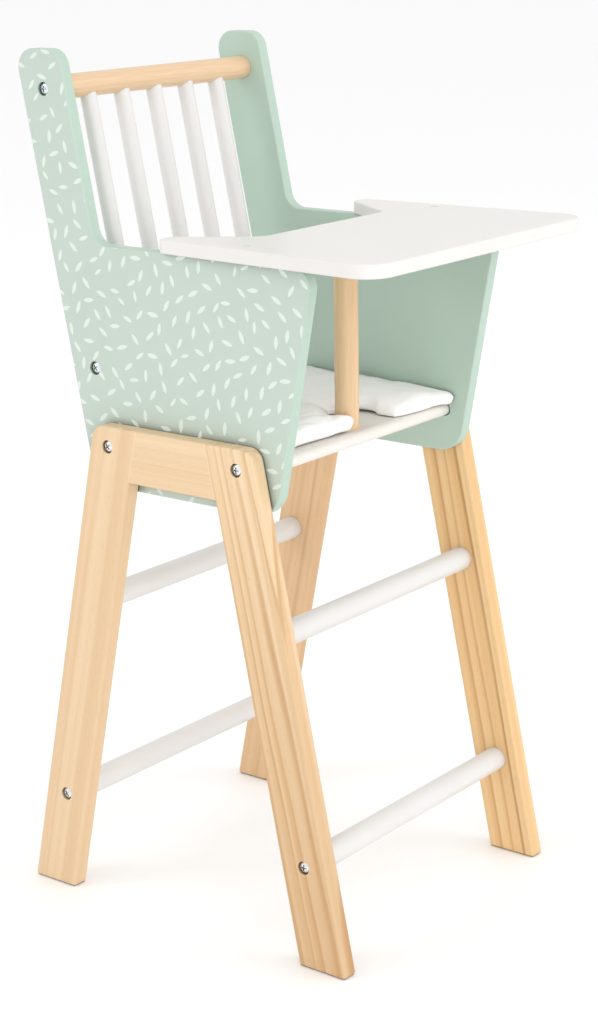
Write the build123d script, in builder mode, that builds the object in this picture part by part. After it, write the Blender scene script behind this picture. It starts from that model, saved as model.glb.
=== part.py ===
from build123d import *
import os
from math import cos, radians, sin, tan

# A doll's high chair: two painted side panels carry the seat, the back and the tray, and stand on
# two A-shaped leg frames that four rungs hold apart. The chair faces -Y, +X is the sitter's left,
# and Z = 0 is the floor. All lengths are millimetres.

# Heights: the seat's top above the floor, and the rest above or below it
seat_height = 322.0
panel_drop = 34.0
lower_rail_rise = 44.0
arm_rise = 125.0
back_rise = 123.0
frame_rise = 10.0
seat_screw_rise = 1.0

# Side panels: boards with a post that leans back and an arm and seat part in front of it
panel_thick = 9.0
panel_foot_depth = 151.0
post_width = 37.5
back_lean = 11.7
arm_lean = 10.6
panel_corner = 12.5
panel_foot_corner = 20.0
panel_arris = 1.0
inner_width = 194.0

# Seat board: both long edges fully rounded, its ends let into a groove in each panel
seat_thick = 9.0
seat_depth = 135.0
groove_depth = 3.5
groove_gap = 0.3
groove_end_gap = 1.2

# Back: two rails of dowel and the spindles between them
rail_dia = 16.0
rail_recess = 3.0
top_rail_drop = 25.5
spindle_dia = 11.0
spindle_count = 5
spindle_pitch = 32.6
spindle_depth = 6.0

# Tray: a board on the arms, with a belly cut-out behind, carried by a post from the seat
tray_thick = 9.0
tray_reach = 161.5
tray_front_width = 245.0
tray_rear_width = 221.0
tray_arm_back = 12.5
tray_arm_tip = 13.5
belly_width = 130.0
belly_front = 36.0
tray_corner = 18.0
tray_tip_corner = 5.0
belly_corner = 12.0
tray_arris = 1.2
tray_post_dia = 16.0
tray_post_setback = 15.5
tray_post_in_seat = 4.0
tray_post_in_tray = 5.0
peg_dia = 5.0
peg_in_panel = 16.0
peg_sunk = 0.3

# Leg frames: two leaning legs and a cross rail, glued and dowelled, then rounded over as one
leg_width = 35.5
leg_thick = 12.0
leg_lean = 11.7
foot_spread = 267.5
cross_rail_height = 35.5
frame_corner = 10.0
foot_corner = 2.0
leg_arris = 1.8
frame_dowel_dia = 6.0
frame_dowel_length = 30.0
frame_dowel_pitch = 17.0

# Rungs between the leg frames
rung_dia = 16.0
rung_recess = 5.0
lower_rung_height = 67.7
front_upper_rung_height = 209.8
rear_upper_rung_height = 207.6
rear_upper_setback = 4.2

# Screws: pan heads with a cross recess, sunk in flat seats
screw_dia = 4.0
screw_tip = 3.0
head_dia = 7.6
head_height = 2.3
head_rim = 0.9
head_seat_dia = 9.0
head_seat_depth = 2.6
recess_length = 4.0
recess_width = 1.0
recess_depth = 1.3
back_rail_screw_length = 32.0
leg_frame_screw_length = 42.0
rung_screw_length = 32.0
post_screw_length = 25.0
frame_screw_offset = 3.5
screw_turn = 37.0

# Fits: radial room of a glued dowel, room beyond its end, and of a screw in its hole
glue_gap = 0.05
end_gap = 0.2
screw_gap = 0.05
dowel_chamfer = 0.6
overrun = 1.0

# Cushion: a loose pad with a notch round the tray post, lying against the left panel
cushion_height = 15.5
cushion_width = 169.0
cushion_side_gap = 0.5
cushion_front_proud = 4.0
cushion_rear_short = 1.5
cushion_edge = 14.0
cushion_draw = 3.0
cushion_corner = 13.0
notch_width = 46.0
notch_behind_post = 18.0
notch_corner = 7.0
soft_gap = 0.3
# Height up the pad and how far the outline steps in there, as shares of its height and edge
cushion_shares = ((0.0, 0.45), (0.42, 0.0), (0.8, 0.5), (1.0, 1.35))

# Places that follow from the sizes above
back_slope = tan(radians(back_lean))
arm_slope = tan(radians(arm_lean))
leg_slope = tan(radians(leg_lean))
post_across = post_width / cos(radians(back_lean))
leg_across = leg_width / cos(radians(leg_lean))
panel_bottom = seat_height - panel_drop
arm_top = seat_height + arm_rise
panel_top = arm_top + back_rise
lower_rail_height = seat_height + lower_rail_rise
frame_top = seat_height + frame_rise
panel_in = inner_width / 2
panel_out = panel_in + panel_thick
frame_out = panel_out + leg_thick
seat_mid = seat_height - seat_thick / 2
seat_half = panel_in + groove_depth - end_gap
peg_x = panel_in + panel_thick / 2
back_rail_screw_tip = panel_out - head_seat_depth - back_rail_screw_length
leg_frame_screw_tip = frame_out - head_seat_depth - leg_frame_screw_length
rung_screw_tip = frame_out - head_seat_depth - rung_screw_length
post_y = tray_post_setback - seat_depth / 2
cross_rail_bottom = frame_top - cross_rail_height
foot_edge = foot_spread / 2

# A foot's rounded corner stops this far short of the sharp one, so the box's middle is worked out
foot_tangent = foot_corner / tan(radians(90 - leg_lean) / 2)
foot_reach = foot_edge - foot_tangent + foot_corner
frame_y = (tray_reach - foot_reach) / 2


def post_line(z):
    """Y of the middle of the panel's post at a height, from the middle of the leg frames."""
    return panel_foot_depth / 2 + back_slope * (z - panel_bottom) - post_across / 2


def leg_line(z):
    """Distance of a leg's middle line from the middle of its frame at a height."""
    return foot_edge - leg_across / 2 - leg_slope * z


top_rail_place = (post_line(panel_top - top_rail_drop), panel_top - top_rail_drop)
lower_rail_place = (post_line(lower_rail_height), lower_rail_height)
rail_distance = (top_rail_place[1] - lower_rail_place[1]) / cos(radians(back_lean))
rung_places = {
    "front_upper_rung": (-leg_line(front_upper_rung_height), front_upper_rung_height),
    "front_lower_rung": (-leg_line(lower_rung_height), lower_rung_height),
    "rear_upper_rung": (leg_line(rear_upper_rung_height) + rear_upper_setback, rear_upper_rung_height),
    "rear_lower_rung": (leg_line(lower_rung_height), lower_rung_height),
}
frame_screw_height = seat_mid + seat_screw_rise
frame_screw_places = [(end * (leg_line(frame_screw_height) + frame_screw_offset), frame_screw_height)
                      for end in (-1, 1)]
spindle_places = [((i - (spindle_count - 1) / 2) * spindle_pitch, 0) for i in range(spindle_count)]


def side_plane(x):
    """A plane square to X: its own x runs to the rear from the frames' middle, its own y runs up."""
    return Plane(origin=(x, frame_y, 0), x_dir=(0, 1, 0), z_dir=(1, 0, 0))


def level_plane(z):
    """A level plane at a height, from the frames' middle."""
    return Plane(origin=(0, frame_y, z))


def lean_plane(s):
    """A plane square to the spindles, a distance up them from the lower rail's middle."""
    y, z = lower_rail_place
    slant = (0, sin(radians(back_lean)), cos(radians(back_lean)))
    return Plane(origin=(0, frame_y + y, z), x_dir=(1, 0, 0), z_dir=slant).offset(s)


def side_place(side, x, y, z):
    """A place on a face square to X that looks outwards, on the right (-1) or the left (1)."""
    return Plane(origin=(side * x, frame_y + y, z), x_dir=(0, side, 0), z_dir=(side, 0, 0)).location


def save(piece, label):
    piece.part.label = label
    export_step(piece.part, f"parts/{label}.step")


def side_panel(side, label):
    """One painted board: outline, rounded arrises, seat groove, rail recesses and screw holes."""
    foot = panel_foot_depth / 2
    back_top = foot + back_slope * (panel_top - panel_bottom)
    back_arm = foot + back_slope * (arm_top - panel_bottom)
    arm_front = -foot - arm_slope * (arm_top - panel_bottom)
    with BuildPart() as panel:
        with BuildSketch(side_plane(min(side * panel_in, side * panel_out))) as outline:
            with BuildLine():
                Polyline((-foot, panel_bottom), (foot, panel_bottom), (back_top, panel_top),
                         (back_top - post_across, panel_top), (back_arm - post_across, arm_top),
                         (arm_front, arm_top), close=True)
            make_face()
            levels = outline.vertices().group_by(Axis.Y)
            fillet(levels[-1] + levels[-2], radius=panel_corner)
            fillet(outline.vertices().group_by(Axis.Y)[0], radius=panel_foot_corner)
        extrude(amount=panel_thick)
        fillet(panel.faces().filter_by(Axis.X).edges(), radius=panel_arris)
        with BuildSketch(side_plane(side * panel_in)):
            with Locations((0, seat_mid)):
                SlotOverall(seat_depth + 2 * groove_end_gap, seat_thick + 2 * groove_gap)
        extrude(amount=side * groove_depth, mode=Mode.SUBTRACT)
        with BuildSketch(side_plane(side * panel_in)):
            with Locations(top_rail_place, lower_rail_place):
                Circle(rail_dia / 2 + glue_gap)
        extrude(amount=side * rail_recess, mode=Mode.SUBTRACT)
        with Locations(*[side_place(side, panel_out, *p) for p in (top_rail_place, lower_rail_place)]):
            CounterBoreHole(radius=screw_dia / 2 + screw_gap, counter_bore_radius=head_seat_dia / 2,
                            counter_bore_depth=head_seat_depth)
        with Locations(*[side_place(side, panel_out, *p) for p in frame_screw_places]):
            Hole(radius=screw_dia / 2 + screw_gap)
        with BuildSketch(level_plane(arm_top)):
            with Locations((side * peg_x, post_y)):
                Circle(peg_dia / 2 + glue_gap)
        extrude(amount=-peg_in_panel, mode=Mode.SUBTRACT)
    save(panel, label)


def seat_board():
    """The seat: a rounded board with blind holes for the post and the screws in its ends."""
    with BuildPart() as seat:
        with BuildSketch(side_plane(-seat_half)):
            with Locations((0, seat_mid)):
                SlotOverall(seat_depth, seat_thick)
        extrude(amount=2 * seat_half)
        with BuildSketch(level_plane(seat_height)):
            with Locations((0, post_y)):
                Circle(tray_post_dia / 2 + glue_gap)
        extrude(amount=-tray_post_in_seat, mode=Mode.SUBTRACT)
        with Locations(*[side_place(side, seat_half, *p) for side in (-1, 1) for p in frame_screw_places]):
            Hole(radius=screw_dia / 2 + screw_gap, depth=seat_half - leg_frame_screw_tip + end_gap)
        with Locations(post_screw_place(0)):
            CounterBoreHole(radius=screw_dia / 2 + screw_gap, counter_bore_radius=head_seat_dia / 2,
                            counter_bore_depth=head_seat_depth)
    save(seat, "seat_board")


def post_screw_place(depth):
    """A place under the tray post that looks down, a depth up from the seat's lower face."""
    return Plane(origin=(0, frame_y + post_y, seat_height - seat_thick + depth), z_dir=(0, 0, -1)).location


def cross_dowel(place, dia, half_length, tip=None):
    """A round bar along X with chamfered ends, drilled from its ends to the tips of its screws."""
    with BuildPart() as bar:
        with BuildSketch(side_plane(-half_length)):
            with Locations(place):
                Circle(dia / 2)
        extrude(amount=2 * half_length)
        chamfer(bar.faces().filter_by(Axis.X).edges(), length=dowel_chamfer)
        if tip:
            with Locations(*[side_place(side, half_length, *place) for side in (-1, 1)]):
                Hole(radius=screw_dia / 2 + screw_gap, depth=half_length - tip + end_gap)
    return bar


def back_rails():
    """The top rail and the lower rail, with blind holes that the spindles are glued into."""
    half = panel_in + rail_recess - end_gap
    foot = rail_dia / 2 - spindle_depth - end_gap
    run = rail_dia / 2 + overrun - foot
    for label, place, start, away in (("top_rail", top_rail_place, rail_distance - foot, -1),
                                      ("lower_back_rail", lower_rail_place, foot, 1)):
        bar = cross_dowel(place, rail_dia, half, back_rail_screw_tip)
        with BuildPart() as rail:
            add(bar.part)
            with BuildSketch(lean_plane(start)):
                with Locations(*spindle_places):
                    Circle(spindle_dia / 2 + glue_gap)
            extrude(amount=away * run, mode=Mode.SUBTRACT)
        save(rail, label)


def back_spindles():
    """Five round spindles that lean with the posts, from rail to rail."""
    foot = rail_dia / 2 - spindle_depth
    for number, place in enumerate(spindle_places, 1):
        with BuildPart() as spindle:
            with BuildSketch(lean_plane(foot)):
                with Locations(place):
                    Circle(spindle_dia / 2)
            extrude(amount=rail_distance - 2 * foot)
        save(spindle, f"back_spindle_{number}")


def tray():
    """The tray board, the post under it and the two pegs that fix it to the arms."""
    front, rear = tray_front_width / 2, tray_rear_width / 2
    tip = rear - tray_arm_tip
    belly = belly_width / 2
    with BuildPart() as board:
        with BuildSketch(level_plane(arm_top)):
            with BuildLine():
                FilletPolyline((-front, -tray_reach), (front, -tray_reach), (rear, tray_arm_back),
                               (tip, tray_arm_back), (belly, -belly_front), (-belly, -belly_front),
                               (-tip, tray_arm_back), (-rear, tray_arm_back), close=True,
                               radius=[tray_corner, tray_corner, tray_tip_corner, tray_tip_corner,
                                       belly_corner, belly_corner, tray_tip_corner, tray_tip_corner])
            make_face()
        extrude(amount=tray_thick)
        fillet(board.faces().filter_by(Axis.Z).edges(), radius=tray_arris)
        with BuildSketch(level_plane(arm_top)):
            with Locations((0, post_y)):
                Circle(tray_post_dia / 2 + glue_gap)
        extrude(amount=tray_post_in_tray, mode=Mode.SUBTRACT)
        with BuildSketch(level_plane(arm_top)):
            with Locations((-peg_x, post_y), (peg_x, post_y)):
                Circle(peg_dia / 2 + glue_gap)
        extrude(amount=tray_thick, mode=Mode.SUBTRACT)
    save(board, "tray_board")

    with BuildPart() as post:
        with BuildSketch(level_plane(seat_height - tray_post_in_seat + end_gap)):
            with Locations((0, post_y)):
                Circle(tray_post_dia / 2)
        extrude(amount=arm_top + tray_post_in_tray - seat_height + tray_post_in_seat - 2 * end_gap)
        chamfer(post.faces().filter_by(Axis.Z).edges(), length=dowel_chamfer)
        foot = seat_thick - tray_post_in_seat + end_gap
        with Locations(post_screw_place(foot)):
            Hole(radius=screw_dia / 2 + screw_gap, depth=head_seat_depth + post_screw_length - foot + end_gap)
    save(post, "tray_post")

    with BuildPart() as pegs:
        with BuildSketch(level_plane(arm_top - peg_in_panel + end_gap)):
            with Locations((-peg_x, post_y), (peg_x, post_y)):
                Circle(peg_dia / 2)
        extrude(amount=peg_in_panel - end_gap + tray_thick - peg_sunk)
    save(pegs, "tray_pegs")


def joint_plane(end):
    """The glued joint between a leg and its cross rail, looking out to the leg: rear 1, front -1."""
    slant = (0, end * cos(radians(leg_lean)), sin(radians(leg_lean)))
    return Plane(origin=(0, frame_y + end * (foot_edge - leg_across), 0), z_dir=slant)


def frame_dowel_places(side):
    """The middles of the four hidden dowels of one leg frame, two in each joint."""
    x = side * (panel_out + leg_thick / 2)
    middle = frame_top - cross_rail_height / 2
    for end in (-1, 1):
        for z in (middle - frame_dowel_pitch / 2, middle + frame_dowel_pitch / 2):
            yield Location((x, frame_y + end * (foot_edge - leg_across - leg_slope * z), z), (90, 0, 0))


def leg_frame(side, hand):
    """One A frame: rounded over in one piece, then parted at its joints into legs and cross rail."""
    top_edge = foot_edge - leg_slope * frame_top
    inner_edge = foot_edge - leg_across
    inner_top = inner_edge - leg_slope * cross_rail_bottom
    with BuildPart() as blank:
        with BuildSketch(side_plane(min(side * panel_out, side * frame_out))) as outline:
            with BuildLine():
                Polyline((foot_edge, 0), (top_edge, frame_top), (-top_edge, frame_top), (-foot_edge, 0),
                         (-inner_edge, 0), (-inner_top, cross_rail_bottom), (inner_top, cross_rail_bottom),
                         (inner_edge, 0), close=True)
            make_face()
            fillet(outline.vertices().group_by(Axis.Y)[-1], radius=frame_corner)
            fillet(outline.vertices().group_by(Axis.Y)[0], radius=foot_corner)
        extrude(amount=leg_thick)
        fillet(blank.faces().filter_by(Axis.X).edges(), radius=leg_arris)

    for end, name in ((1, "rear"), (-1, "front")):
        upper, lower = rung_places[f"{name}_upper_rung"], rung_places[f"{name}_lower_rung"]
        with BuildPart() as leg:
            add(blank.part)
            split(bisect_by=joint_plane(end), keep=Keep.TOP)
            with Locations(*frame_dowel_places(side)):
                Cylinder(frame_dowel_dia / 2 + glue_gap, frame_dowel_length + 2 * end_gap, mode=Mode.SUBTRACT)
            with BuildSketch(side_plane(side * panel_out)):
                with Locations(upper, lower):
                    Circle(rung_dia / 2 + glue_gap)
            extrude(amount=side * rung_recess, mode=Mode.SUBTRACT)
            screws = [lower] + [p for p in frame_screw_places if p[0] * end > 0]
            with Locations(*[side_place(side, frame_out, *p) for p in screws]):
                CounterBoreHole(radius=screw_dia / 2 + screw_gap, counter_bore_radius=head_seat_dia / 2,
                                counter_bore_depth=head_seat_depth)
        save(leg, f"{name}_leg_{hand}")

    with BuildPart() as cross_rail:
        add(blank.part)
        split(bisect_by=joint_plane(1), keep=Keep.BOTTOM)
        split(bisect_by=joint_plane(-1), keep=Keep.BOTTOM)
        with Locations(*frame_dowel_places(side)):
            Cylinder(frame_dowel_dia / 2 + glue_gap, frame_dowel_length + 2 * end_gap, mode=Mode.SUBTRACT)
    save(cross_rail, f"cross_rail_{hand}")

    with BuildPart() as dowels:
        with Locations(*frame_dowel_places(side)):
            Cylinder(frame_dowel_dia / 2, frame_dowel_length)
    save(dowels, f"frame_dowels_{hand}")


def screw(length):
    """A pan-head wood screw along -Z, the head's underside at Z = 0."""
    with BuildPart() as body:
        with BuildSketch(Plane.XZ):
            with BuildLine():
                Polyline((0, head_height), (0, -length), (screw_dia / 2, screw_tip - length),
                         (screw_dia / 2, 0), (head_dia / 2, 0), (head_dia / 2, head_rim))
                TangentArc((0, head_height), (head_dia / 2, head_rim), tangent=(1, 0))
            make_face()
        revolve(axis=Axis.Z)
        with BuildSketch(Plane.XY.offset(head_height)):
            Rectangle(recess_length, recess_width)
            Rectangle(recess_width, recess_length)
        extrude(amount=-recess_depth, mode=Mode.SUBTRACT)
    return body


def screw_group(label, length, places):
    """Like screws as one group, each with its cross recess turned another way."""
    one = screw(length)
    with BuildPart() as group:
        for number, place in enumerate(places):
            with Locations(place * Rotation(0, 0, number * screw_turn)):
                add(one.part)
    save(group, label)


def screws():
    """Every screw, in groups of one kind."""
    seat = head_seat_depth
    ends = [(side, *p) for side in (-1, 1) for p in (top_rail_place, lower_rail_place)]
    screw_group("back_rail_screws", back_rail_screw_length,
                [side_place(side, panel_out - seat, y, z) for side, y, z in ends])
    ends = [(side, *p) for side in (-1, 1) for p in frame_screw_places]
    screw_group("leg_frame_screws", leg_frame_screw_length,
                [side_place(side, frame_out - seat, y, z) for side, y, z in ends])
    low = [rung_places["front_lower_rung"], rung_places["rear_lower_rung"]]
    ends = [(side, *p) for side in (-1, 1) for p in low]
    screw_group("lower_rung_screws", rung_screw_length,
                [side_place(side, frame_out - seat, y, z) for side, y, z in ends])
    screw_group("post_screw", post_screw_length, [post_screw_place(seat)])


def seat_cushion():
    """The pad: a crowned form with drawn-in sides, its notch open to the front."""
    middle_x = panel_in - cushion_side_gap - cushion_width / 2
    with BuildPart() as cushion:
        for height_share, inset_share in cushion_shares:
            inset = inset_share * cushion_edge
            half = cushion_width / 2 - inset
            front = -seat_depth / 2 - cushion_front_proud + inset
            rear = seat_depth / 2 - cushion_rear_short - inset
            notch = notch_width / 2 + inset
            notch_back = post_y + tray_post_dia / 2 + notch_behind_post + inset
            middle = (front + rear) / 2
            height = seat_height + soft_gap + height_share * cushion_height
            with BuildSketch(Plane(origin=(middle_x, frame_y, height))) as outline:
                with BuildLine():
                    Line((notch, front), (half, front))
                    ThreePointArc((half, front), (half - cushion_draw, middle), (half, rear))
                    ThreePointArc((half, rear), (0, rear - cushion_draw), (-half, rear))
                    ThreePointArc((-half, rear), (cushion_draw - half, middle), (-half, front))
                    Polyline((-half, front), (-notch, front), (-notch, notch_back),
                             (notch, notch_back), (notch, front))
                make_face()
                outer = outline.vertices().sort_by(lambda v: abs(v.X))[-4:]
                fillet(outer, radius=cushion_corner)
                fillet(outline.vertices().sort_by(lambda v: abs(abs(v.X) - notch))[:4], radius=notch_corner)
        loft()
    save(cushion, "seat_cushion")


os.makedirs("parts", exist_ok=True)
side_panel(-1, "side_panel_right")
side_panel(1, "side_panel_left")
seat_board()
seat_cushion()
back_rails()
back_spindles()
tray()
leg_frame(-1, "right")
leg_frame(1, "left")
rung_half = panel_out + rung_recess - end_gap
for rung_name, rung_place in rung_places.items():
    tip = rung_screw_tip if "lower" in rung_name else None
    save(cross_dowel(rung_place, rung_dia, rung_half, tip), rung_name)
screws()
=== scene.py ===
from math import exp, hypot, pi, radians, sqrt

import bpy
from mathutils import Matrix, Vector, noise
from mathutils.kdtree import KDTree


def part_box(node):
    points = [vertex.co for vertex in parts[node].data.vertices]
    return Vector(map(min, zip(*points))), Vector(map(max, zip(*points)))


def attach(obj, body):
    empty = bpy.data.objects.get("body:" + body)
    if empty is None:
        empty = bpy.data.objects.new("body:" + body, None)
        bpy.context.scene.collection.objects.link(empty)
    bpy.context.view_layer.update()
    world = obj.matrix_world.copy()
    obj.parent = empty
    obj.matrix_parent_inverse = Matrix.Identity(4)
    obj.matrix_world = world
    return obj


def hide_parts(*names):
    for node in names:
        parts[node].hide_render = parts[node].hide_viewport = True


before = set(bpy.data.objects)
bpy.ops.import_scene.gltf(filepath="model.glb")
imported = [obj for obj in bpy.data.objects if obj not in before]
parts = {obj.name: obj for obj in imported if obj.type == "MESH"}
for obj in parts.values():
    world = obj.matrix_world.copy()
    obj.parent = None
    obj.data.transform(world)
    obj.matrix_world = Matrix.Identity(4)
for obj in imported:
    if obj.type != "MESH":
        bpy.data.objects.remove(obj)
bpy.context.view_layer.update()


# Side panels. Two 9 mm boards, routed to an L-shaped outline and sprayed with a pale sage satin
# paint. The outer faces carry a scatter of paler almond flecks, which the rounded arris cuts off;
# the edges and the inner faces are plain.

def lay(finish, kind, inputs=(), **settings):
    """Adds one shader node; inputs maps a socket to a value or to another node's output."""
    node = finish.node_tree.nodes.new("ShaderNode" + kind)
    for name, value in settings.items():
        setattr(node, name, value)
    for socket, value in dict(inputs).items():
        if isinstance(value, bpy.types.NodeSocket):
            finish.node_tree.links.new(value, node.inputs[socket])
        else:
            node.inputs[socket].default_value = value
    return node


def start_finish(name, roughness, coat=0.0):
    """A new finish with its shader, and the object coordinates that its patterns read."""
    finish = bpy.data.materials.new(name)
    finish.use_nodes = True
    skin = finish.node_tree.nodes["Principled BSDF"]
    skin.inputs["Roughness"].default_value = roughness
    skin.inputs["Coat Weight"].default_value = coat
    place = lay(finish, "TexCoord").outputs["Object"]
    return finish, skin, place


def wear_of(finish, radius):
    """1 on rounded edges, 0 on the flats: how far the blurred normal turns from the true one."""
    flat, turned = 0.995, 0.9
    blurred = lay(finish, "Bevel", {"Radius": radius}, samples=6).outputs[0]
    true = lay(finish, "NewGeometry").outputs["Normal"]
    same = lay(finish, "VectorMath", {0: blurred, 1: true}, operation="DOT_PRODUCT").outputs["Value"]
    return lay(finish, "MapRange", {0: same, 1: flat, 2: turned}).outputs[0]


def crevice_shade(finish, reach, start=0.48):
    """1 deep in a gap or a bore, 0 on an open face: the share of painted shade, for little light gets in
    there. The painted shade starts where the share start of the sky is still seen."""
    deepest = 0.14
    open_share = lay(finish, "AmbientOcclusion", {"Distance": reach}, samples=8).outputs["AO"]
    return lay(finish, "MapRange", {0: open_share, 1: start, 2: deepest}).outputs[0]


def mix(finish, share, first, second):
    """The colour that lies between two others by a share."""
    node = lay(finish, "Mix", data_type="RGBA")
    for socket, value in ((0, share), (6, first), (7, second)):
        if isinstance(value, bpy.types.NodeSocket):
            finish.node_tree.links.new(value, node.inputs[socket])
        else:
            node.inputs[socket].default_value = value
    return node.outputs[2]


def spray(finish, skin, place, colour, worn, gap_shade, streak=None):
    """Sprayed satin paint: a faint mottle, thinner paint on the edges and a fine orange peel. In gaps and
    bores it turns to a dark colour, which is painted shade; streak is the scale of the grain that shows
    through on a bar."""
    mottle_scale, mottle_low, mottle_high, mottle_dip = 22.0, 0.3, 0.7, 0.965
    arris, arris_share, shade_reach, shade_start = 0.0012, 0.35, 0.005, 0.60
    peel_scale, peel_depth, grain_depth = 900.0, 0.00004, 0.00012
    shinier, duller = 0.05, 0.06
    mottle = lay(finish, "TexNoise", {"Vector": place, "Scale": mottle_scale, "Detail": 4.0}).outputs[0]
    share = lay(finish, "MapRange", {0: mottle, 1: mottle_low, 2: mottle_high}).outputs[0]
    deep = tuple(c * mottle_dip for c in colour)
    coat = mix(finish, share, (*deep, 1), (*colour, 1))
    edge = lay(finish, "Math", {0: wear_of(finish, arris), 1: arris_share}, operation="MULTIPLY").outputs[0]
    coat = mix(finish, edge, coat, (*worn, 1))
    # Painted shade: the paint darkens in gaps and bores.
    coat = mix(finish, crevice_shade(finish, shade_reach, shade_start), coat, (*gap_shade, 1))
    usual = skin.inputs["Roughness"].default_value
    dull = lay(finish, "MapRange", {0: share, 3: usual - shinier, 4: usual + duller}).outputs[0]
    finish.node_tree.links.new(dull, skin.inputs["Roughness"])
    peel = lay(finish, "TexNoise", {"Vector": place, "Scale": peel_scale, "Detail": 2.0}).outputs[0]
    bump = lay(finish, "Bump", {"Height": peel, "Strength": 0.35, "Distance": peel_depth})
    if streak:
        long_grain = lay(finish, "Mapping", {"Vector": place, "Scale": streak}).outputs[0]
        fibre = lay(finish, "TexNoise", {"Vector": long_grain, "Scale": 1.0, "Detail": 3.0}).outputs[0]
        under = lay(finish, "Bump", {"Height": fibre, "Strength": 0.3, "Distance": grain_depth})
        finish.node_tree.links.new(under.outputs[0], bump.inputs["Normal"])
    finish.node_tree.links.new(bump.outputs[0], skin.inputs["Normal"])
    return coat


def dress(finish, *names):
    """Puts a finish on CAD nodes."""
    for name in names:
        skin_slots = parts[name].data.materials
        skin_slots.clear()
        skin_slots.append(finish)


sage = (0.435, 0.56, 0.475)
sage_worn = (0.53, 0.64, 0.57)
sage_film = (0.475, 0.557, 0.495)
# Painted shade: the two dark colours below are laid into gaps and bores, and onto the outer face beside the
# legs and rails.
sage_shade = (0.060, 0.046, 0.026)
film_shade = (0.085, 0.085, 0.040)
fleck_colour = (0.645, 0.72, 0.66)
fleck_pitch = 0.0120
fleck_half_length = 0.0046
fleck_half_width = 0.0015
fleck_rows = radians(24)
fleck_jitter = 0.36
fleck_shift_y, fleck_shift_z = 2.3, 1.1
fleck_fit, fleck_least = 0.94, 0.75
fleck_small, fleck_large = 0.94, 1.10
fleck_bleed, fleck_soft = 0.00010, 0.00012
film_shade_reach, film_shade_start = 0.009, 0.80
film_wrap = 0.00008
panel_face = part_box("side_panel_left")[1].x - film_wrap

sage_paint, skin, place = start_finish("sage_paint", 0.42)
coat = spray(sage_paint, skin, place, sage, sage_worn, sage_shade)
axis = lay(sage_paint, "SeparateXYZ", {0: place}).outputs
across = lay(sage_paint, "Math", {0: axis[0], 1: fleck_shift_y, 2: axis[1]},
             operation="MULTIPLY_ADD").outputs[0]
upward = lay(sage_paint, "Math", {0: axis[0], 1: fleck_shift_z, 2: axis[2]},
             operation="MULTIPLY_ADD").outputs[0]
flat_place = lay(sage_paint, "CombineXYZ", {0: across, 1: upward}).outputs[0]
flat_place = lay(sage_paint, "VectorRotate", {"Vector": flat_place, "Angle": fleck_rows},
                 rotation_type="Z_AXIS").outputs[0]
scatter = {"Vector": flat_place, "Scale": 1 / fleck_pitch, "Randomness": fleck_jitter}
cells = lay(sage_paint, "TexVoronoi", scatter, voronoi_dimensions="2D").outputs
room = lay(sage_paint, "TexVoronoi", scatter, voronoi_dimensions="2D",
           feature="N_SPHERE_RADIUS").outputs["Radius"]
from_middle = lay(sage_paint, "VectorMath", {0: flat_place, 1: cells["Position"]},
                  operation="SUBTRACT").outputs[0]
chance = lay(sage_paint, "SeparateColor", {0: cells["Color"]}).outputs
turn = lay(sage_paint, "Math", {0: chance[0], 1: 2 * pi}, operation="MULTIPLY").outputs[0]
turned = lay(sage_paint, "VectorRotate", {"Vector": from_middle, "Angle": turn},
             rotation_type="Z_AXIS").outputs[0]
tight = fleck_fit * fleck_pitch / fleck_half_length
shrink = lay(sage_paint, "MapRange", {0: room, 1: fleck_least / tight, 2: 1 / tight,
                                      3: 1 / fleck_least, 4: 1.0}).outputs[0]
size = lay(sage_paint, "MapRange", {0: chance[1], 3: fleck_small, 4: fleck_large}).outputs[0]
size = lay(sage_paint, "Math", {0: size, 1: shrink}, operation="MULTIPLY").outputs[0]
sized = lay(sage_paint, "VectorMath", {0: turned, 3: size}, operation="SCALE").outputs[0]
arc_radius = (fleck_half_length ** 2 + fleck_half_width ** 2) / (2 * fleck_half_width)
arc_back = arc_radius - fleck_half_width
leaf = lay(sage_paint, "SeparateXYZ", {0: sized}).outputs
leaf_side = lay(sage_paint, "Math", {0: leaf[1]}, operation="ABSOLUTE").outputs[0]
leaf_back = lay(sage_paint, "Math", {0: leaf_side, 1: arc_back}, operation="ADD").outputs[0]
leaf_place = lay(sage_paint, "CombineXYZ", {0: leaf[0], 1: leaf_back}).outputs[0]
leaf_reach = lay(sage_paint, "VectorMath", {0: leaf_place}, operation="LENGTH").outputs["Value"]
inside = lay(sage_paint, "MapRange", {0: leaf_reach, 1: arc_radius + fleck_bleed,
                                      2: arc_radius - fleck_soft}).outputs[0]
out_by = lay(sage_paint, "Math", {0: axis[0]}, operation="ABSOLUTE").outputs[0]
on_face = lay(sage_paint, "Math", {0: out_by, 1: panel_face}, operation="GREATER_THAN").outputs[0]
printed = lay(sage_paint, "Math", {0: inside, 1: on_face}, operation="MULTIPLY").outputs[0]
cloud = lay(sage_paint, "TexNoise", {"Vector": place, "Scale": 35.0, "Detail": 4.0}).outputs[0]
film = mix(sage_paint, cloud, (*[0.97 * c for c in sage_film], 1), (*[1.03 * c for c in sage_film], 1))
# Painted shade: the outer face darkens to a greenish brown beside the legs and rails.
film = mix(sage_paint, crevice_shade(sage_paint, film_shade_reach, film_shade_start), film, (*film_shade, 1))
coat = mix(sage_paint, on_face, coat, film)
coat = mix(sage_paint, printed, coat, (*fleck_colour, 1))
sage_paint.node_tree.links.new(coat, skin.inputs["Base Color"])
dress(sage_paint, "side_panel_right", "side_panel_left")


# Seat board. A white sprayed board with a rounded front edge, glued into a groove in each side
# panel. The leg frames' upper screws run into its ends.

white_worn = (0.64, 0.61, 0.565)
seat_white = (0.79, 0.745, 0.70)
seat_paint, skin, place = start_finish("seat_paint", 0.38)
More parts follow.
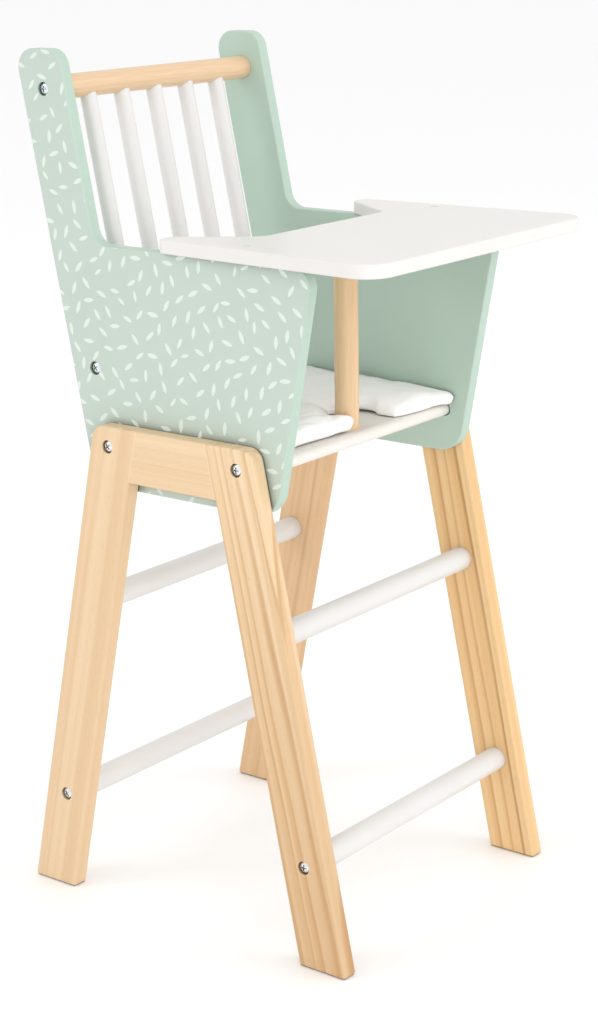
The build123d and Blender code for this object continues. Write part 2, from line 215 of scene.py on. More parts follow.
# Painted shade: the board darkens a little in gaps and bores.
coat = spray(seat_paint, skin, place, seat_white, white_worn, [0.85 * c for c in seat_white])
seat_paint.node_tree.links.new(coat, skin.inputs["Base Color"])
dress(seat_paint, "seat_board")


# Back rails and spindles. The top rail is bare lacquered beech bar, the lower one and the five
# spindles are white. The spindles stand in blind holes, and the rails are screwed to the panels.

def bar_wood(name, light, dark, along, ring_centre, pitch):
    """Lacquered wood turned from bar: growth rings round a centre far off, fibres and pores along it."""
    sway_scale, sway_width, patch_scale, sway_stretch = 60.0, 0.006, 25.0, 0.05
    fibre_scale, fibre_stretch, fibre_depth, shade_reach = 1500.0, 0.035, 0.00008, 0.004
    finish, skin, place = start_finish(name, 0.42, 0.15)
    stretch = [1.0, 1.0, 1.0]
    stretch[along] = sway_stretch
    stretched = lay(finish, "Mapping", {"Vector": place, "Scale": stretch}).outputs[0]
    sway = lay(finish, "TexNoise", {"Vector": stretched, "Scale": sway_scale,
                                    "Detail": 2.0}).outputs["Color"]
    sway = lay(finish, "VectorMath", {0: sway, 1: (0.5, 0.5, 0.5)}, operation="SUBTRACT").outputs[0]
    sway = lay(finish, "VectorMath", {0: sway, 3: sway_width}, operation="SCALE").outputs[0]
    swayed = lay(finish, "VectorMath", {0: place, 1: sway}, operation="ADD").outputs[0]
    flat = [1.0, 1.0, 1.0]
    flat[along] = 0.0
    centred = lay(finish, "Mapping", {"Vector": swayed, "Location": [-c for c in ring_centre],
                                      "Scale": flat}).outputs[0]
    reach = lay(finish, "VectorMath", {0: centred}, operation="LENGTH").outputs["Value"]
    turns = lay(finish, "Math", {0: reach, 1: 1 / pitch}, operation="MULTIPLY").outputs[0]
    ring = lay(finish, "Math", {0: turns}, operation="FRACT").outputs[0]
    profile = lay(finish, "ValToRGB", {0: ring})
    stops = profile.color_ramp.elements
    stops[0].position, stops[0].color = 0.0, (0, 0, 0, 1)
    stops[1].position, stops[1].color = 1.0, (0.1, 0.1, 0.1, 1)
    for position, level in ((0.55, 0.25), (0.86, 1.0)):
        stop = stops.new(position)
        stop.color = (level, level, level, 1)
    fine = [1.0, 1.0, 1.0]
    fine[along] = fibre_stretch
    fine_place = lay(finish, "Mapping", {"Vector": place, "Scale": fine}).outputs[0]
    fibre = lay(finish, "TexNoise", {"Vector": fine_place, "Scale": fibre_scale, "Detail": 3.0}).outputs[0]
    fibre_share = lay(finish, "MapRange", {0: fibre, 1: 0.35, 2: 0.7, 3: 0.0, 4: 0.35}).outputs[0]
    patch = lay(finish, "TexNoise", {"Vector": stretched, "Scale": patch_scale, "Detail": 2.0}).outputs[0]
    strength = lay(finish, "MapRange", {0: patch, 1: 0.35, 2: 0.7, 3: 0.15, 4: 0.75}).outputs[0]
    ring_share = lay(finish, "Math", {0: profile.outputs[0], 1: strength}, operation="MULTIPLY").outputs[0]
    colour = mix(finish, ring_share, (*light, 1), (*dark, 1))
    colour = mix(finish, fibre_share, colour, (*[c * 0.86 for c in dark], 1))
    # Painted shade: the wood darkens in gaps and bores.
    colour = mix(finish, crevice_shade(finish, shade_reach), colour, (*[c * 0.25 for c in dark], 1))
    finish.node_tree.links.new(colour, skin.inputs["Base Color"])
    dull = lay(finish, "MapRange", {0: fibre, 1: 0.3, 2: 0.7, 3: 0.36, 4: 0.52}).outputs[0]
    finish.node_tree.links.new(dull, skin.inputs["Roughness"])
    bump = lay(finish, "Bump", {"Height": fibre, "Strength": 0.25, "Distance": fibre_depth})
    finish.node_tree.links.new(bump.outputs[0], skin.inputs["Normal"])
    return finish


beech_light = (0.76, 0.545, 0.345)
beech_dark = (0.64, 0.425, 0.24)
rail_beech = bar_wood("rail_beech", beech_light, beech_dark, 0, (0, 0.09, 0.60), 0.0045)
dress(rail_beech, "top_rail")

white = (0.715, 0.70, 0.685)
# Painted shade: the white paint darkens to this in gaps and bores.
white_shade = (0.12, 0.11, 0.10)
grain_along_x, grain_along_z = (8, 450, 450), (450, 450, 8)
white_rail, skin, place = start_finish("white_rail", 0.38)
coat = spray(white_rail, skin, place, white, white_worn, white_shade, grain_along_x)
white_rail.node_tree.links.new(coat, skin.inputs["Base Color"])
dress(white_rail, "lower_back_rail")

white_spindle, skin, place = start_finish("white_spindle", 0.38)
coat = spray(white_spindle, skin, place, white, white_worn, white_shade, grain_along_z)
white_spindle.node_tree.links.new(coat, skin.inputs["Base Color"])
dress(white_spindle, *[name for name in parts if name.startswith("back_spindle")])


# Tray. A white board with two arms that rest on the panels, held there by a glued peg in each arm
# and by a beech post that stands on the seat.

tray_white = (0.735, 0.715, 0.69)
tray_paint, skin, place = start_finish("tray_paint", 0.38)
# Painted shade: the tray darkens a little in gaps and bores.
coat = spray(tray_paint, skin, place, tray_white, white_worn, [0.85 * c for c in tray_white])
tray_paint.node_tree.links.new(coat, skin.inputs["Base Color"])
dress(tray_paint, "tray_board", "tray_pegs")
post_beech = bar_wood("post_beech", (0.765, 0.535, 0.315), (0.645, 0.415, 0.215), 2, (0.05, 0.06, 0), 0.005)
dress(post_beech, "tray_post")


# Leg frames. Each side has two leaning pine legs, doweled to a cross rail and screwed to the panel
# from outside. The grain runs along each piece; the arrises are softly rounded.

def sawn_pine(name, palette, lean, heart, near, pitch, fan, seed, lines, upper, foot):
    """Planed, lacquered pine with its years along the piece: each starts pale, deepens and ends in a
    sharp late-wood line, no two alike. lean stands the piece upright; heart is the tree's middle, seen
    so, and near is the distance of the piece's straight edge from it. The years are pitch wide at the
    floor and draw together by fan further up, where their lines keep the share upper of their
    strength; foot is how much deeper the wood gets towards the floor."""
    light, deep, line_colour = palette
    fan_top, fade_top, fade_low, foot_top, foot_low = 0.33, 0.31, 0.12, 0.34, 0.02
    sway_scale, sway_width, sway_stretch = 55.0, 0.007, 0.08
    rhythm_pace, rhythm_width, faint_year = 1.9, 0.27, 0.35
    year_body = ((0.10, 0.0), (0.5, 0.36), (0.82, 0.85), (0.93, 1.0))
    year_end = ((0.70, 0.0), (0.88, 1.0), (0.96, 0.6))
    patch_scale, stripe_scale, stripe_stretch, stripe_rest = 70.0, 150.0, 0.012, 0.38
    body_faint, body_full = 0.15, 0.62
    pore_scale, pore_stretch, fibre_scale, fibre_stretch = 2400.0, 0.07, 1300.0, 0.03
    arris, arris_worn, shade_reach, grain_depth = 0.0015, (0.86, 0.72, 0.52), 0.004, 0.00009
    finish, skin, place = start_finish(name, 0.45, 0.12)
    upright = lay(finish, "Mapping", {"Vector": place, "Rotation": (lean, 0, 0)}).outputs[0]
    height = lay(finish, "SeparateXYZ", {0: upright}).outputs[2]
    long_place = lay(finish, "Mapping", {"Vector": upright, "Location": (seed, seed, seed),
                                         "Scale": (1, 1, sway_stretch)}).outputs[0]
    sway = lay(finish, "TexNoise", {"Vector": long_place, "Scale": sway_scale,
                                    "Detail": 1.5}).outputs["Color"]
    sway = lay(finish, "VectorMath", {0: sway, 1: (0.5, 0.5, 0.5)}, operation="SUBTRACT").outputs[0]
    sway = lay(finish, "VectorMath", {0: sway, 3: sway_width}, operation="SCALE").outputs[0]
    swayed = lay(finish, "VectorMath", {0: upright, 1: sway}, operation="ADD").outputs[0]
    from_heart = lay(finish, "Mapping", {"Vector": swayed, "Location": (-heart[0], -heart[1], 0),
                                         "Scale": (1, 1, 0)}).outputs[0]
    reach = lay(finish, "VectorMath", {0: from_heart}, operation="LENGTH").outputs["Value"]
    reach = lay(finish, "Math", {0: reach, 1: near}, operation="SUBTRACT").outputs[0]
    count = lay(finish, "MapRange", {0: height, 1: 0.0, 2: fan_top,
                                     3: 1 / pitch, 4: (1 + fan) / pitch}).outputs[0]
    years = lay(finish, "Math", {0: reach, 1: count}, operation="MULTIPLY").outputs[0]
    rhythm = lay(finish, "Math", {0: years, 1: rhythm_pace, 2: seed}, operation="MULTIPLY_ADD").outputs[0]
    rhythm = lay(finish, "Math", {0: rhythm}, operation="SINE").outputs[0]
    years = lay(finish, "Math", {0: rhythm, 1: rhythm_width, 2: years}, operation="MULTIPLY_ADD").outputs[0]
    year = lay(finish, "Math", {0: years, 1: 1.0}, operation="FLOORED_MODULO").outputs[0]
    one_year = lay(finish, "Math", {0: years}, operation="FLOOR").outputs[0]
    luck = lay(finish, "TexWhiteNoise", {"W": one_year}, noise_dimensions="1D").outputs["Value"]
    luck = lay(finish, "MapRange", {0: luck, 3: faint_year, 4: 1.0}).outputs[0]
    bands = []
    for levels in (year_body, year_end):
        band = lay(finish, "ValToRGB", {0: year})
        stops = band.color_ramp.elements
        stops[0].position, stops[0].color = 0.0, (0, 0, 0, 1)
        stops[1].position, stops[1].color = 1.0, (0, 0, 0, 1)
        for position, level in levels:
            stops.new(position).color = (level, level, level, 1)
        bands.append(band.outputs[0])
    body_band, end_band = bands
    patch = lay(finish, "TexNoise", {"Vector": long_place, "Scale": patch_scale, "Detail": 1.0}).outputs[0]
    strength = lay(finish, "MapRange", {0: patch, 1: 0.35, 2: 0.65, 3: 0.5 * lines, 4: lines}).outputs[0]
    fade = lay(finish, "MapRange", {0: height, 1: fade_top, 2: fade_low, 3: upper, 4: 1.0}).outputs[0]
    strength = lay(finish, "Math", {0: strength, 1: fade}, operation="MULTIPLY").outputs[0]
    strength = lay(finish, "Math", {0: strength, 1: luck}, operation="MULTIPLY").outputs[0]
    late_share = lay(finish, "Math", {0: end_band, 1: strength}, operation="MULTIPLY").outputs[0]
    stripe_place = lay(finish, "Mapping", {"Vector": upright, "Location": (seed, 0, seed),
                                           "Scale": (1, 1, stripe_stretch)}).outputs[0]
    stripe = lay(finish, "TexNoise", {"Vector": stripe_place, "Scale": stripe_scale,
                                      "Detail": 3.0}).outputs[0]
    stripe_share = lay(finish, "MapRange", {0: stripe, 1: 0.36, 2: 0.64,
                                            4: 1 - stripe_rest * lines}).outputs[0]
    body = lay(finish, "MapRange", {0: fade, 3: body_faint * lines, 4: body_full * lines}).outputs[0]
    deep_share = lay(finish, "Math", {0: body_band, 1: body, 2: stripe_share},
                     operation="MULTIPLY_ADD").outputs[0]
    foot_share = lay(finish, "MapRange", {0: height, 1: foot_top, 2: foot_low, 4: foot}).outputs[0]
    colour = mix(finish, deep_share, (*light, 1), (*deep, 1))
    colour = mix(finish, foot_share, colour, (*line_colour, 1))
    colour = mix(finish, late_share, colour, (*line_colour, 1))
    pore_place = lay(finish, "Mapping", {"Vector": upright, "Scale": (1, 1, pore_stretch)}).outputs[0]
    pore = lay(finish, "TexNoise", {"Vector": pore_place, "Scale": pore_scale, "Detail": 0.0}).outputs[0]
    pore_share = lay(finish, "MapRange", {0: pore, 1: 0.66, 2: 0.76, 3: 0.0, 4: 0.15}).outputs[0]
    colour = mix(finish, pore_share, colour, (*[0.62 * c for c in line_colour], 1))
    edge = lay(finish, "Math", {0: wear_of(finish, arris), 1: 0.30}, operation="MULTIPLY").outputs[0]
    colour = mix(finish, edge, colour, (*arris_worn, 1))
    # Painted shade: the wood darkens in gaps, such as along the panel's face.
    colour = mix(finish, crevice_shade(finish, shade_reach, 0.60), colour, (*[0.22 * c for c in line_colour], 1))
    finish.node_tree.links.new(colour, skin.inputs["Base Color"])
    dull = lay(finish, "MapRange", {0: late_share, 3: 0.48, 4: 0.36}).outputs[0]
    finish.node_tree.links.new(dull, skin.inputs["Roughness"])
    fine_place = lay(finish, "Mapping", {"Vector": upright, "Scale": (1, 1, fibre_stretch)}).outputs[0]
    fibre = lay(finish, "TexNoise", {"Vector": fine_place, "Scale": fibre_scale, "Detail": 3.0}).outputs[0]
    relief = lay(finish, "Math", {0: late_share, 1: 0.4, 2: fibre}, operation="MULTIPLY_ADD").outputs[0]
    relief = lay(finish, "Math", {0: relief, 1: pore_share}, operation="SUBTRACT").outputs[0]
    bump = lay(finish, "Bump", {"Height": relief, "Strength": 0.30, "Distance": grain_depth})
    finish.node_tree.links.new(bump.outputs[0], skin.inputs["Normal"])
    return finish


leg_lean = radians(11.7)

# A palette holds early wood, the deeper wood of the same year, and its late-wood line.
pale = ((0.765, 0.575, 0.365), (0.70, 0.495, 0.295), (0.58, 0.365, 0.185))
warm = ((0.80, 0.62, 0.405), (0.665, 0.43, 0.21), (0.46, 0.235, 0.085))
ripe = ((0.81, 0.57, 0.30), (0.70, 0.43, 0.185), (0.43, 0.215, 0.07))
rosy = ((0.715, 0.485, 0.28), (0.63, 0.395, 0.205), (0.50, 0.29, 0.135))

cuts = {
    "front_leg_right": dict(palette=warm, lean=leg_lean + radians(0.6), heart=(-0.085, -0.020), near=0.072,
                            pitch=0.0094, fan=0.30, seed=3.9, lines=1.0, upper=0.34, foot=0.46),
    "rear_leg_right": dict(palette=pale, lean=-leg_lean - radians(0.5), heart=(-0.20, 0.02), near=0.118,
                           pitch=0.0120, fan=0.0, seed=1.7, lines=0.35, upper=0.8, foot=0.14),
    "front_leg_left": dict(palette=ripe, lean=leg_lean - radians(0.4), heart=(0.085, -0.010), near=0.070,
                           pitch=0.0125, fan=0.1, seed=2.9, lines=1.0, upper=1.0, foot=0.05),
    "rear_leg_left": dict(palette=rosy, lean=-leg_lean + radians(0.6), heart=(0.16, 0.03), near=0.090,
                          pitch=0.0135, fan=0.0, seed=4.1, lines=0.5, upper=1.0, foot=0.04),
    "cross_rail_right": dict(palette=pale, lean=pi / 2, heart=(-0.15, -0.20), near=0.110,
                             pitch=0.0095, fan=0.0, seed=5.3, lines=0.45, upper=1.0, foot=0.0),
    "cross_rail_left": dict(palette=warm, lean=pi / 2, heart=(0.15, -0.22), near=0.130,
                            pitch=0.0095, fan=0.0, seed=6.7, lines=0.5, upper=1.0, foot=0.0),
}
for name, cut in cuts.items():
    dress(sawn_pine("pine_" + name, **cut), name)
dress(post_beech, "frame_dowels_right", "frame_dowels_left")


# Rungs. Four round bars, sprayed white like the lower back rail and glued into blind holes in the
# legs, two at the front and two behind. A screw at each end holds the lower two as well.

dress(white_rail, *[name for name in parts if name.endswith("_rung")])


# Screws. Bright zinc-plated cross-head screws in counterbored holes: four in the back rails, four
# through the leg frames, and two in each lower rung. The one under the tray post is hidden.

zinc, skin, place = start_finish("zinc", 0.28)
skin.inputs["Metallic"].default_value = 1.0
zinc_grey, zinc_bright = (0.70, 0.73, 0.76), (0.90, 0.92, 0.94)
# Painted shade: the plate darkens to a blue-grey in the cross recess and the counterbore.
recess_shade, recess_shade_reach, recess_shade_start = (0.05, 0.09, 0.12), 0.0025, 0.60
haze = lay(zinc, "TexNoise", {"Vector": place, "Scale": 700.0, "Detail": 3.0}).outputs[0]
share = lay(zinc, "MapRange", {0: haze, 1: 0.3, 2: 0.7}).outputs[0]
plate = mix(zinc, share, (*zinc_grey, 1), (*zinc_bright, 1))
plate = mix(zinc, crevice_shade(zinc, recess_shade_reach, recess_shade_start), plate, (*recess_shade, 1))
zinc.node_tree.links.new(plate, skin.inputs["Base Color"])
dull = lay(zinc, "MapRange", {0: share, 3: 0.20, 4: 0.36}).outputs[0]
zinc.node_tree.links.new(dull, skin.inputs["Roughness"])
dress(zinc, "back_rail_screws", "leg_frame_screws", "lower_rung_screws", "post_screw")


# Seat cushion. Two white cotton panels cut to a U, sewn edge to edge and lightly stuffed. It lies
# loose on the seat against the left panel, with its front lobes either side of the tray post. The
# cloth swells in a simulation, and the lobes, which hold less, are then lowered to their own height.

cloth_step = 0.0026
seat_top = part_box("seat_board")[1].z
low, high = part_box("seat_cushion")
cloth_spare = 0.0025
left, right = low.x - cloth_spare, high.x + cloth_spare
front, rear = low.y - cloth_spare, high.y + cloth_spare
notch_left, notch_right, notch_back = -0.0100, 0.0385, -0.0200
notch_middle = (notch_left + notch_right) / 2
seam_height = seat_top + 0.0032
bed_height = seat_top + 0.0016
top_height = seam_height + 0.0015
post_low, post_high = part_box("tray_post")
post_middle = (post_low + post_high) / 2
post_radius = (post_high.x - post_low.x) / 2

bpy.ops.object.select_all(action="DESELECT")
bpy.ops.mesh.primitive_grid_add(x_subdivisions=round((right - left) / cloth_step),
                                y_subdivisions=round((rear - front) / cloth_step),
                                size=1, location=(0, 0, 0))
cushion = bpy.context.object
cushion.name = cushion.data.name = "cushion"
cushion.data.transform(Matrix.Translation(((left + right) / 2, (front + rear) / 2, seam_height))
                       @ Matrix.Diagonal((right - left, rear - front, 1, 1)))
bpy.ops.object.mode_set(mode="EDIT")
bpy.ops.mesh.select_mode(type="FACE")
bpy.ops.mesh.select_all(action="DESELECT")
bpy.ops.object.mode_set(mode="OBJECT")
for face in cushion.data.polygons:
    face.select = notch_left < face.center.x < notch_right and face.center.y < notch_back
bpy.ops.object.mode_set(mode="EDIT")
bpy.ops.mesh.delete(type="FACE")
bpy.ops.mesh.select_all(action="SELECT")
bpy.ops.mesh.duplicate()
bpy.ops.mesh.flip_normals()
bpy.ops.object.mode_set(mode="OBJECT")

mesh = cushion.data
uses = {}
for face in mesh.polygons:
    for key in face.edge_keys:
        uses[key] = uses.get(key, 0) + 1
rim = {v for key, count in uses.items() if count == 1 for v in key}
seam = cushion.vertex_groups.new(name="seam")
seam.add(list(rim), 1.0, "REPLACE")
rim_places = [mesh.vertices[v].co.xy for v in rim]
bed_reach = 0.012
bed = cushion.vertex_groups.new(name="bed")
for face in mesh.polygons:
    for v in face.vertices:
        if v not in rim:
            mesh.vertices[v].co.z = bed_height if face.select else top_height
    if face.select and min((face.center.xy - place).length for place in rim_places) > bed_reach:
        bed.add(list(face.vertices), 1.0, "REPLACE")


def ease(share):
    """0 to 1 with soft ends."""
    share = min(max(share, 0), 1)
    return share * share * (3 - 2 * share)


def between(place, low, low_soft, high, high_soft):
    """1 between two limits and 0 outside them; each limit is soft over a stretch inwards."""
    return ease((place - low) / low_soft) * ease((high - place) / high_soft)


# A corner has a radius and an ear, the tip that the stuffing pushes out. The bulge fills the right
# lobe out towards the post, between limits with their softness. A skew slants each lobe's front.
eared, blunt, ear_reach = (0.006, 0.002), (0.010, 0.0), 0.024
bulge, bulge_across, bulge_along = 0.019, (-0.045, 0.036, 0.038, 0.048), (-0.040, 0.018, 0.026, 0.034)
far_skew, near_skew = 0.15, 0.07
corners = [(left, front, -1, -1, *eared), (right, front, 1, -1, *eared), (left, rear, -1, 1, *eared),
           (right, rear, 1, 1, *eared), (notch_left, front, 1, -1, *eared),
           (notch_right, front, -1, -1, *blunt)]
for v in mesh.vertices:
    for x, y, side, end, corner, ear in corners:
        u, w = corner - (x - v.co.x) * side, corner - (y - v.co.y) * end
        if u > 0 and w > 0:
            pull = (1 - max(u, w) / hypot(u, w)) * max(u, w) / corner
            v.co.x -= side * u * pull
            v.co.y -= end * w * pull
for v in mesh.vertices:
    for x, y, side, end, corner, ear in corners:
        if (v.co.x - notch_middle) * (x - notch_middle) > 0:
            draw = ear * (1 - ease(hypot(v.co.x - x, v.co.y - y) / ear_reach))
            v.co.x += side * draw
            v.co.y += end * draw
    v.co.x += bulge * between(v.co.x, *bulge_across) * between(v.co.y, *bulge_along)
for v in mesh.vertices:
    if v.co.y < notch_back:
        skew = far_skew if v.co.x > notch_middle else near_skew
        v.co.y += (notch_back - v.co.y) / (notch_back - front) * (right - v.co.x) * skew
bpy.ops.object.mode_set(mode="EDIT")
bpy.ops.mesh.select_all(action="SELECT")
bpy.ops.mesh.remove_doubles(threshold=0.0002)
bpy.ops.mesh.normals_make_consistent(inside=False)
bpy.ops.object.mode_set(mode="OBJECT")

cut_shape = [v.co.copy() for v in mesh.vertices]
seam_line = [place.xy for place in cut_shape if abs(place.z - seam_height) < (top_height - seam_height) / 2]
seam_find = KDTree(len(seam_line))
for number, place in enumerate(seam_line):
    seam_find.insert(place.to_3d(), number)
seam_find.balance()


dome_height, dome_drop = 0.0176, 0.0010
dome_middle, dome_reach = (0.012, 0.012), (0.11, 0.10)


def press(height, drop):
    """A plate that the cloth can't pass: the seat, or a shallow dome over it that falls by drop."""
    bpy.ops.object.select_all(action="DESELECT")
    bpy.ops.mesh.primitive_grid_add(x_subdivisions=24, y_subdivisions=24, size=0.3, location=(0, 0, 0))
    plate = bpy.context.object
    for v in plate.data.vertices:
        out_x, out_y = ((c - middle) / reach for c, middle, reach in zip(v.co.xy, dome_middle, dome_reach))
        v.co.z = height - drop * (out_x ** 2 + out_y ** 2)
    if drop:
        plate.data.flip_normals()
    plate.modifiers.new("press", "COLLISION")
    plate.collision.thickness_outer = 0.001
    plate.collision.cloth_friction = 5
    return plate


presses = [press(seat_top, 0), press(seat_top + dome_height, dome_drop)]
stuffing = cushion.modifiers.new("stuffing", "CLOTH")
cloth = stuffing.settings
cloth.quality = 10
cloth.mass = 0.3
cloth.tension_stiffness, cloth.compression_stiffness = 15, 8
cloth.shear_stiffness, cloth.bending_stiffness = 3, 0.06
cloth.vertex_group_shrink = "seam"
cloth.shrink_min, cloth.shrink_max = -0.04, -0.012
cloth.vertex_group_mass = "bed"
cloth.air_damping = 3
cloth.use_pressure = True
cloth.uniform_pressure_force = 8
cloth.effector_weights.gravity = 0
stuffing.collision_settings.distance_min = 0.0008
timeline = bpy.context.scene
timeline.frame_start, timeline.frame_end = 1, 26
for moment in range(timeline.frame_start, timeline.frame_end + 1):
    timeline.frame_set(moment)
bpy.ops.object.select_all(action="DESELECT")
cushion.select_set(True)
bpy.context.view_layer.objects.active = cushion
bpy.ops.object.modifier_apply(modifier="stuffing")
for plate in presses:
    bpy.data.objects.remove(plate)
timeline.frame_set(1)

mesh = cushion.data

# A lobe has heights over the seat for its seam at the tip and the root and for its crown there, the
# share by which it is drawn to them, the place where its seam leaves the seat, and its drawing in.
far_lobe = (0.0058, 0.0078, 0.0104, 0.0125, 0.60, 0.065, 0.0008)
near_lobe = (0.0085, 0.0080, 0.0140, 0.0160, 0.40, -0.030, 0.0048)
lobe_from, lobe_reach, rise_reach = 0.016, 0.046, 0.026
bed_gap, under_gap, low_seam = 0.0004, 0.0001, 0.0003
crown_round, seat_round, seam_hold, seam_share = 0.015, 0.0018, 0.009, 0.95
lump_height, lump_from, lump_scale, small_lump_scale, small_lump_share = 0.0011, 0.007, 62, 150, 0.6
wall_start, wall_room = 0.0925, 0.0042
post_clear, post_soft, post_dent = post_radius + 0.0006, 0.005, 0.003


def swelling(inward, reach):
    """A round edge: 0 at the seam, 1 from reach inwards."""
    return sqrt(1 - (1 - min(inward / reach, 1)) ** 2)


for v, cut in zip(mesh.vertices, cut_shape):
    v.co.z -= bed_height - seat_top - bed_gap
    far = ease((cut.x - notch_left) / (notch_right - notch_left))
    tip_seam, root_seam, tip_crown, root_crown, lobe_share, rise_from, drawn_in = (
        n + (f - n) * far for n, f in zip(near_lobe, far_lobe))
    inward = seam_find.find(cut.xy.to_3d())[2]
    back = ease((cut.y - front) / (lobe_from - front))
    seam_rise = tip_seam + (root_seam - tip_seam) * back
    seam_rise = low_seam + (seam_rise - low_seam) * ease((cut.x - rise_from) / rise_reach)
    crown_rise = tip_crown + (root_crown - tip_crown) * back
    if cut.z > seam_height:
        swell = seam_rise + (crown_rise - seam_rise) * swelling(inward, crown_round)
        lump = noise.noise(cut.xy.to_3d() * lump_scale)
        lump += small_lump_share * noise.noise(cut.xy.to_3d() * small_lump_scale)
        swell += lump_height * lump * ease(inward / lump_from)
    else:
        swell = seam_rise - (seam_rise - under_gap) * swelling(inward, seat_round)
    stuffed = Vector((cut.x, cut.y + drawn_in, seat_top + swell))
    share = lobe_share + (seam_share - lobe_share) * ease(1 - inward / seam_hold)
    v.co = v.co.lerp(stuffed, share * ease((lobe_from - cut.y) / lobe_reach))
    if v.co.x > wall_start:
        v.co.x = wall_start + wall_room * (1 - exp((wall_start - v.co.x) / wall_room))
    aside = (v.co.xy - post_middle.xy).length
    if aside < post_clear + post_soft:
        away = post_clear + (aside - post_clear + post_dent) * post_soft / (post_soft + post_dent)
        v.co.xy = post_middle.xy + (v.co.xy - post_middle.xy) * away / aside
bpy.ops.object.select_all(action="DESELECT")
cushion.select_set(True)
bpy.context.view_layer.objects.active = cushion
pinches, pinch_reach = (Vector((0.006, -0.017)), Vector((0.034, -0.020))), 0.014
bpy.ops.object.mode_set(mode="EDIT")
bpy.ops.mesh.select_mode(type="VERT")
bpy.ops.mesh.select_all(action="DESELECT")
bpy.ops.object.mode_set(mode="OBJECT")
for v in mesh.vertices:
    v.select = min((v.co.xy - pinch).length for pinch in pinches) < pinch_reach
bpy.ops.object.mode_set(mode="EDIT")
bpy.ops.mesh.vertices_smooth(factor=0.5, repeat=14)
bpy.ops.object.mode_set(mode="OBJECT")
cushion.modifiers.new("fine", "SUBSURF").levels = 1
bpy.ops.object.modifier_apply(modifier="fine")
bpy.ops.object.shade_smooth()

cotton, skin, place = start_finish("cotton", 0.88)
skin.inputs["Sheen Weight"].default_value = 0.25
skin.inputs["Sheen Roughness"].default_value = 0.5
cotton_glow, cotton_depth = 0.35, 0.004
skin.inputs["Subsurface Weight"].default_value = cotton_glow
skin.inputs["Subsurface Radius"].default_value = (cotton_depth, cotton_depth, cotton_depth)
skin.inputs["Subsurface Scale"].default_value = 1.0
cotton_shaded, cotton_white, cotton_dip = (0.90, 0.885, 0.865), (0.93, 0.92, 0.905), (0.62, 0.605, 0.59)
slub_scale, thread_pitch = 90.0, 0.0005
threads = (round((right - left) / thread_pitch), round((rear - front) / thread_pitch))
cut = lay(cotton, "SeparateXYZ", {0: lay(cotton, "TexCoord").outputs["UV"]}).outputs
warp = lay(cotton, "Math", {0: cut[0], 1: threads[0] * pi}, operation="MULTIPLY").outputs[0]
weft = lay(cotton, "Math", {0: cut[1], 1: threads[1] * pi}, operation="MULTIPLY").outputs[0]
warp = lay(cotton, "Math", {0: warp}, operation="SINE").outputs[0]
weft = lay(cotton, "Math", {0: weft}, operation="SINE").outputs[0]
weave = lay(cotton, "Math", {0: warp, 1: weft}, operation="MULTIPLY").outputs[0]
slub = lay(cotton, "TexNoise", {"Vector": place, "Scale": slub_scale, "Detail": 4.0}).outputs[0]
share = lay(cotton, "MapRange", {0: slub, 1: 0.3, 2: 0.7}).outputs[0]
cloth_colour = mix(cotton, share, (*cotton_shaded, 1), (*cotton_white, 1))
dip = lay(cotton, "MapRange", {0: weave, 1: -1.0, 2: 1.0, 3: 0.10, 4: 0.0}).outputs[0]
cloth_colour = mix(cotton, dip, cloth_colour, (*cotton_dip, 1))
cotton.node_tree.links.new(cloth_colour, skin.inputs["Base Color"])
crush_depth, thread_depth = 0.0006, 0.00008
crush = lay(cotton, "Bump", {"Height": slub, "Strength": 0.25, "Distance": crush_depth})
thread = lay(cotton, "Bump", {"Height": weave, "Strength": 0.5, "Distance": thread_depth,
                              "Normal": crush.outputs[0]})
cotton.node_tree.links.new(thread.outputs[0], skin.inputs["Normal"])
cushion.data.materials.clear()
cushion.data.materials.append(cotton)
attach(cushion, "cushion")
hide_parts("seat_cushion")


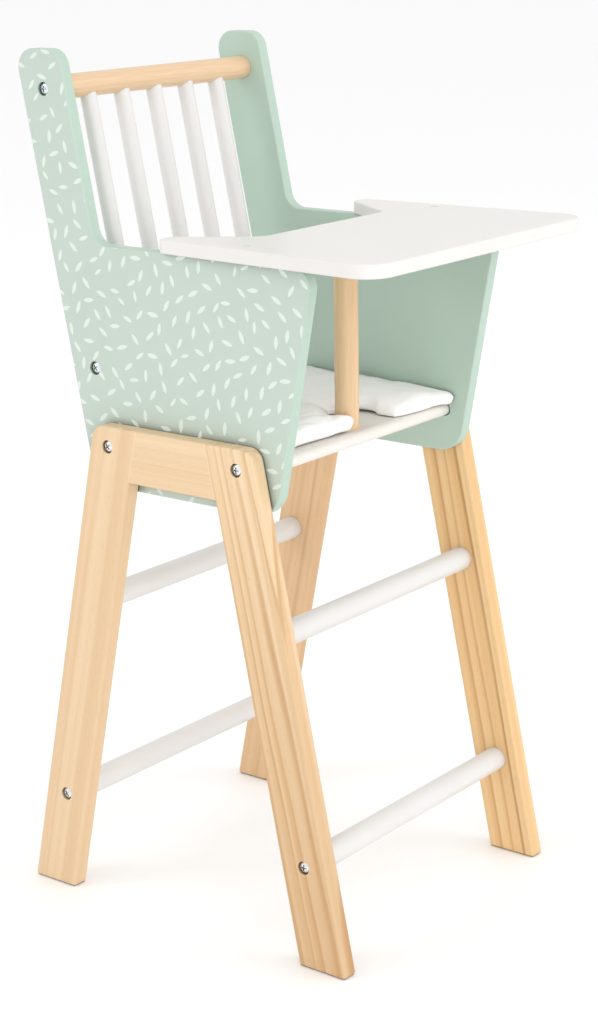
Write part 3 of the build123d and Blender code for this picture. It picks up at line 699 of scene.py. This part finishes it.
# Studio. A plain white floor, a white surround and three soft lamps: a large one on the camera's
# right, a fill beside the camera, and a small one on its left that lights the rear.

bpy.ops.object.select_all(action="DESELECT")
bpy.ops.mesh.primitive_plane_add(size=40, location=(0, 0, 0))
floor = bpy.context.object
floor.name = "floor"
floor_finish, skin, place = start_finish("floor_white", 0.7)
skin.inputs["Base Color"].default_value = (0.96, 0.96, 0.96, 1)
floor.data.materials.append(floor_finish)

surround = bpy.data.worlds.new("surround")
bpy.context.scene.world = surround
surround.use_nodes = True
surround.node_tree.nodes["Background"].inputs["Color"].default_value = (1, 1, 1, 1)
surround.node_tree.nodes["Background"].inputs["Strength"].default_value = 1.0


def lamp(name, place, aim, width, power):
    """A square soft box that looks from its place at its aim."""
    light = bpy.data.lights.new(name, "AREA")
    light.shape = "SQUARE"
    light.size = width
    light.energy = power
    box = bpy.data.objects.new(name, light)
    bpy.context.scene.collection.objects.link(box)
    box.location = place
    box.rotation_euler = (Vector(aim) - Vector(place)).to_track_quat("-Z", "Y").to_euler()


lamp("key_box", place=(0.8, -2.4, 2.0), aim=(0, 0, 0.3), width=1.8, power=18)
lamp("fill_box", place=(-1.6, -2.1, 0.55), aim=(0, 0, 0.34), width=1.6, power=17)
lamp("side_box", place=(-1.7, 1.3, 2.0), aim=(0, 0, 0.35), width=0.9, power=8)
bpy.context.scene.view_settings.view_transform = "Standard"


# Camera. It looks slightly down from the front right, with a long lens; the small shift is the
# photograph's framing.

view_place = (-1.138707, -0.875333, 0.664606)
view_turn, view_drop, view_roll = -0.9135943, 0.2266295, -0.0139489
camera = bpy.data.objects.new("camera", bpy.data.cameras.new("camera"))
bpy.context.scene.collection.objects.link(camera)
camera.data.sensor_width = 36
camera.data.lens = 77.845
camera.data.shift_x = 0.00192
camera.data.shift_y = -0.10590
camera.matrix_world = (Matrix.Translation(view_place) @ Matrix.Rotation(view_turn, 4, "Z")
                       @ Matrix.Rotation(pi / 2 - view_drop, 4, "X") @ Matrix.Rotation(view_roll, 4, "Z"))
bpy.context.scene.camera = camera
